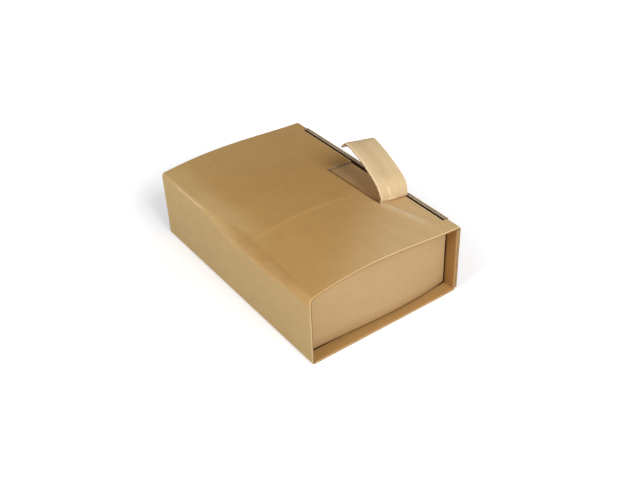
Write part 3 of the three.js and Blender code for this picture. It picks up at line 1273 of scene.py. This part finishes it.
class MarkedFinish(WrapFinish):
    """The wrap's paper with masks for what cutting, folding, tearing and pulling did to it, and for
    painted shade and painted highlights.
    """

    def dull_band(self, on_strip):
        """A slightly duller band up the middle of the strip."""
        band = self.line(self.round, tear_column - 0.45 * strip_width, 12 * MM)
        band *= self.stretch_of(self.along, strip_base + 34 * MM, torn_end - 12 * MM, 10 * MM)
        return band * on_strip * 0.2

    def fold_hollow_shade(self):
        """Painted shade in the hollow along the left lid fold, where the bowed lid has opened it."""
        hollow = self.line(self.round, left_lid_fold, 7 * MM)
        hollow *= 1 - self.along.step(-30 * MM, 70 * MM)
        return hollow * self.along.step(front, front + 50 * MM) * 0.45

    def worn_folds_and_glint(self):
        """Rubbed folds, a painted glint on the crisp stretch of the left lid fold, and the rims'
        ends.
        """
        worn = sum(self.line(self.round, centre, 3.5 * MM) for centre in fold_centres)
        rubbed = worn * self.pattern(25.0, low=0.3, high=0.7) * 0.1
        # A painted glint on the crisp stretch of the left lid fold.
        crisp = self.line(self.round, left_lid_fold + 1 * MM, 1.8 * MM)
        crisp *= self.stretch_of(self.along, 66 * MM, 129 * MM, 8 * MM) * 0.5
        ends = self.along.math("ABSOLUTE").step(back - 1.6 * MM, back - 0.6 * MM) * 0.15
        return rubbed + crisp + ends

    def torn_rims(self, on_strip):
        """Pale fibres along the strip's torn edges and along the lid's edge at the slot."""
        beside_tear = self.line(self.round, tear_column - 0.8 * MM, 1.6 * MM)
        beside_end = self.line(self.along, torn_end - 0.8 * MM, 1.6 * MM)
        slot_rim = self.line(self.round, slot_line, 1.6 * MM) * 0.6
        slot_rim *= self.stretch_of(self.along, -slot_end, slot_end, 1 * MM)
        return (beside_tear + beside_end) * on_strip * 0.8 + slot_rim

    def pull_highlights(self):
        """Painted highlights on the pull's ridge and on the strip's two sharpest buckles."""
        from_base = self.along - strip_base
        ridge_slope = (pull_end.x - pull_start.x) / (pull_start.y - pull_end.y)
        ridge_highlight = self.line(self.round - from_base * ridge_slope, tear_column - 3 * MM, 8.5 * MM)
        ridge_highlight *= self.stretch_of(self.along, front + 30 * MM, strip_base, 10 * MM) * 0.62
        up_strip = self.line(self.round - from_base * 0.12, tear_column - 16 * MM, 3 * MM)
        up_strip *= self.stretch_of(from_base, 11 * MM, 23 * MM, 3 * MM) * 0.9
        over_strip = self.line(from_base, 8.5 * MM, 2.4 * MM)
        over_strip *= self.stretch_of(self.round, tear_column - 21 * MM, tear_column - 11 * MM)
        return ridge_highlight + up_strip + over_strip * 0.9

    def shade_lines(self):
        """Painted shade lines in the valley at the strip's base and on the lid beside its torn edge.
        """
        skewed = self.along + (tear_column - self.round) * (strip_base_skew / strip_width)
        towards_slot = 1 - self.round.step(slot_line, tear_column)
        valley = self.line(skewed, strip_base + 1.2 * MM, 2.4 * MM) * (0.35 + towards_slot * 0.55)
        valley *= self.stretch_of(self.round, slot_line - 1 * MM, tear_column, 0.8 * MM)
        under_tear = self.stretch_of(self.round, tear_column, tear_column + 2.1 * MM, 0.6 * MM)
        under_tear *= self.stretch_of(self.along, strip_base, torn_end) * 0.75
        return valley + under_tear


# %% [markdown]
# ## The wrap's papers
#
# The masks are now laid over each other, from the panels' tones to the marks of wear and the
# painted shade and highlights. The inner paper is painted a darker brown than the outer one,
# as shade, except on the rim's floor, and painted very dark between the end walls, as shade.

# %% The wrap's two papers
def wrap_kraft(name, wall, floor, lid, lid_near_sheen, lid_left, strip, deep=None):
    f = MarkedFinish(name)
    on_floor = f.stretch_of(f.round, floor_start, floor_end)
    colour = f.blend(on_floor, wall, floor)
    colour = f.blend(f.on_lid(), colour, f.lid_tone(lid, lid_near_sheen, lid_left))
    # The inside of the pack is painted very dark, as shade.
    if deep:
        colour = f.blend(f.inside_shade_mask(), colour, deep)
    on_strip = f.on_strip()
    colour = f.blend(on_strip, colour, strip)
    colour = f.blend(f.dull_band(on_strip), colour, dull_kraft)
    colour = f.blend(f.fold_hollow_shade(), colour, hollow_shade_kraft)
    pale = f.worn_folds_and_glint() + f.torn_rims(on_strip) + f.pull_highlights()
    colour = f.blend(f.capped(pale), colour, wear_and_highlight_kraft)
    colour = f.blend(f.capped(f.shade_lines()), colour, wrap_shade_line)
    return f.paper(colour, f.along, band=0.12)


# The walls are painted less orange than the lid, and the lid's near corner, its left side and the
# strip paler, all as a painted sheen.
outer_kraft = wrap_kraft(
    "outer_kraft",
    wall=paint(182, 155, 107),
    floor=paint(182, 155, 107),
    lid=paint(190, 148, 89),
    lid_near_sheen=paint(215, 182, 132),
    lid_left=paint(200, 167, 112),
    strip=paint(208, 183, 142),
)
# The inner paper is painted darker than the outer one, as shade, and the inside of the pack very
# dark, as shade.
shaded_inner_paper = paint(160, 116, 64)
inner_kraft = wrap_kraft(
    "inner_kraft",
    wall=shaded_inner_paper,
    floor=paint(178, 138, 84),
    lid=shaded_inner_paper,
    lid_near_sheen=shaded_inner_paper,
    lid_left=shaded_inner_paper,
    strip=paint(198, 166, 122),
    deep=paint(50, 28, 12),
)
print("the outer paper takes", len(outer_kraft.node_tree.nodes), "nodes")

# %% [markdown]
# ## The tray's paper
#
# The tray's end walls are the same brown as the wrap's walls, and its flaps are painted paler,
# as painted light against the strip's shadow in the opening. It has painted shade above its
# front foot and in the foot's fold, and a painted shadow of the lid's torn edge on the flap
# below it.

# %% The tray's two papers
# Both colours are painted shade.
shaded_wall = paint(150, 96, 40)
tray_shade_line = paint(84, 50, 20)


def tray_kraft(name, wall, flap):
    f = KraftFinish(name)
    # The flap's paler colour is painted light, against the strip's shadow in the opening.
    under_lid = 1 - f.along.step(130 * MM, 170 * MM)
    colour = f.blend(under_lid, wall, flap)
    foot = tray_path.start_of("front foot")
    # Painted shade above the front foot.
    shade_above_foot = f.stretch_of(f.along, foot - 8 * MM, foot + 8 * MM, 7 * MM)
    colour = f.blend(shade_above_foot * 0.25, colour, shaded_wall)
    # Painted shade in the foot's fold, and a painted shadow of the lid's torn edge on the flap.
    foot_fold_shade = f.stretch_of(f.along, foot + 0.6 * MM, foot + 8 * MM, 0.8 * MM)
    tear_share = (tear_line + 2.8 * MM - tray_left - flap_taper) / (tray_width - flap_taper)
    tear_edge_shadow = f.line(f.round, tear_share * tray_width, 2.6 * MM)
    tear_edge_shadow *= f.stretch_of(f.along, front_flap_end - torn_end, front_flap_end - strip_base)
    colour = f.blend(foot_fold_shade * 0.85 + tear_edge_shadow * 0.7, colour, tray_shade_line)
    return f.paper(colour, f.round, band=0.3)


tray_inside = paint(180, 142, 94)
tray_outer = tray_kraft("tray_outer", wall=paint(175, 147, 105), flap=paint(208, 168, 116))
tray_inner = tray_kraft("tray_inner", wall=tray_inside, flap=tray_inside)
print("the tray's paper takes", len(tray_outer.node_tree.nodes), "nodes")

# %% [markdown]
# ## Cut edges
#
# Where the board is cut, the paper shows its pale, fluffy core, and the fluting is greyer than
# the liners. Solidify gave each layer's rim the second material, so the edge of the sheet
# needs no mask.

# %% The finishes of the cut edges and the fluting
OBJECT_PLACE = 3


def cut_paper(name, pale, deep):
    f = Finish(name)
    place = f.node("TexCoord", output=OBJECT_PLACE)
    fluff = f.node("TexNoise", Vector=place, Scale=1900.0, Detail=4.0)
    colour = f.blend(fluff.step(0.35, 0.65), deep, pale)
    bump = f.node("Bump", Strength=0.6, Distance=fibre_height, Height=fluff)
    return f.set(Base_Color=colour, Roughness=0.95, Normal=bump)


liner_edge = cut_paper("liner_edge", paint(214, 184, 142), paint(198, 166, 124))
fluting_paper = cut_paper("fluting_paper", paint(216, 199, 174), paint(164, 142, 116))
print("cut edges:", liner_edge.name, "and", fluting_paper.name)

# %% [markdown]
# ## Dressing the layers
#
# Each layer gets its face and its edge material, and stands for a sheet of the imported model
# together with the two layers beside it. The pack has no moving part, so all of them ride on
# its one body.

# %% Give each layer its finish and its place in the model
def dress(piece, face, edge, node):
    piece.data.materials.clear()
    for material in (face, edge):
        piece.data.materials.append(material)
    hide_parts(node)
    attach(piece, "root")
    print(piece.name, "stands for", node)


dress(wrap_outer_liner, outer_kraft, liner_edge, "outer_wrap")
dress(wrap_inner_liner, inner_kraft, liner_edge, "outer_wrap")
dress(wrap_fluting, fluting_paper, fluting_paper, "outer_wrap")
dress(tray_outer_liner, tray_outer, liner_edge, "inner_tray")
dress(tray_inner_liner, tray_inner, liner_edge, "inner_tray")
dress(tray_fluting, fluting_paper, fluting_paper, "inner_tray")

# %% [markdown]
# ## The floor
#
# The pack lies on a plain pale floor that keeps its shadow and is lost in white further out.
# The floor glows a little, less beside the pack than away from it. The glow is a ring of the
# pack's own proportions, so it follows the pack's outline.

# %% The floor
floor_size = 30
floor_paint = (0.75, 0.75, 0.75, 1)
beside_pack = (0.38, 0.38, 0.39, 1)
away_from_pack = (0.9, 0.9, 0.9, 1)

clear_selection()
bpy.ops.mesh.primitive_plane_add(size=floor_size)
floor = bpy.context.object
floor.name = "floor"
f = Finish("floor_white")
place = f.node("TexCoord", output=OBJECT_PLACE)
spread = f.node("Mapping", Vector=place, Scale=(1 / right, 1 / back, 1))
away = f.node("VectorMath", 1, {"operation": "LENGTH"}, Vector=spread).step(1.3, 3.5)
glow = f.blend(away, beside_pack, away_from_pack)
f.set(Base_Color=floor_paint, Roughness=0.9, Emission_Color=glow, Emission_Strength=1.0)
floor.data.materials.append(f.material)
print("the floor is", floor_size, "m wide")

# %% [markdown]
# ## The background
#
# The camera sees a white world, but the pack is lit by a much weaker one. Light Path tells the
# two kinds of ray apart, so the background can be white without washing out the pack.

# %% The background and the light that fills the shadows
fill_strength = 0.22
white_light = (1, 1, 1, 1)

world = bpy.data.worlds.new("studio")
bpy.context.scene.world = world
world.use_nodes = True
tree = world.node_tree
seen = tree.nodes.new("ShaderNodeLightPath")
fill = tree.nodes["Background"]
fill.inputs["Color"].default_value = white_light
fill.inputs["Strength"].default_value = fill_strength
backdrop = tree.nodes.new("ShaderNodeBackground")
backdrop.inputs["Color"].default_value = white_light
choose = tree.nodes.new("ShaderNodeMixShader")
tree.links.new(seen.outputs["Is Camera Ray"], choose.inputs[0])
tree.links.new(fill.outputs[0], choose.inputs[1])
tree.links.new(backdrop.outputs[0], choose.inputs[2])
tree.links.new(choose.outputs[0], tree.nodes["World Output"].inputs["Surface"])
print("the fill light has strength", fill_strength)

# %% [markdown]
# ## The lamps
#
# Soft light comes mostly from the front and the left, so the end wall and the left wall are
# nearly as bright as the lid. Each lamp is a disk that is turned towards the pack. A larger
# disk gives a softer shadow.

# %% The lamps
def soft_lamp(name, place, target, size, power):
    """A disk lamp, with its size in metres and its power in watts."""
    lamp = bpy.data.lights.new(name, "AREA")
    lamp.shape = "DISK"
    lamp.size = size
    lamp.energy = power
    lamp_object = bpy.data.objects.new(name, lamp)
    bpy.context.scene.collection.objects.link(lamp_object)
    direction = Vector(target) - Vector(place)
    turn = direction.to_track_quat("-Z", "Y").to_matrix().to_4x4()
    lamp_object.matrix_world = Matrix.Translation(place) @ turn
    print(name, "stands", round(direction.length, 2), "m from the pack")


middle = (0, 0, 0.05)
soft_lamp("key_lamp", (-0.2, -2.4, 2.1), middle, size=1.3, power=62)
soft_lamp("front_lamp", (0, -3.2, 1.0), middle, size=1.6, power=16)
soft_lamp("left_lamp", (-2.9, -0.6, 1.8), middle, size=0.8, power=40)

# %% [markdown]
# ## The camera
#
# The camera stands where a fit of the pack's edges in the photograph puts it, a little over a
# metre away and 36 degrees above the floor. It is turned by two directions, the one to its
# right and the one ahead of it, which also keep the photograph's small tilt.

# %% The camera of the photograph
PHOTO_WIDTH = 640
SENSOR_WIDTH = 36
focal_pixels = 906
camera_place = Vector((-0.5453, -0.8098, 0.7355))
view_right = Vector((0.8054, -0.5919, -0.0299)).normalized()
view_ahead = Vector((0.4661, 0.6638, -0.585)).normalized()
view_up = view_right.cross(view_ahead)

camera_data = bpy.data.cameras.new("photo_camera")
camera_data.sensor_fit = "HORIZONTAL"
camera_data.sensor_width = SENSOR_WIDTH
camera_data.lens = SENSOR_WIDTH * focal_pixels / PHOTO_WIDTH
camera = bpy.data.objects.new("photo_camera", camera_data)
bpy.context.scene.collection.objects.link(camera)
turn = Matrix((view_right, view_up, -view_ahead)).transposed().to_4x4()
camera.matrix_world = Matrix.Translation(camera_place) @ turn
bpy.context.scene.camera = camera
bpy.context.scene.view_settings.view_transform = "Standard"
print(f"lens {camera_data.lens:.0f} mm, {camera_place.length:.2f} m from the pack's middle")
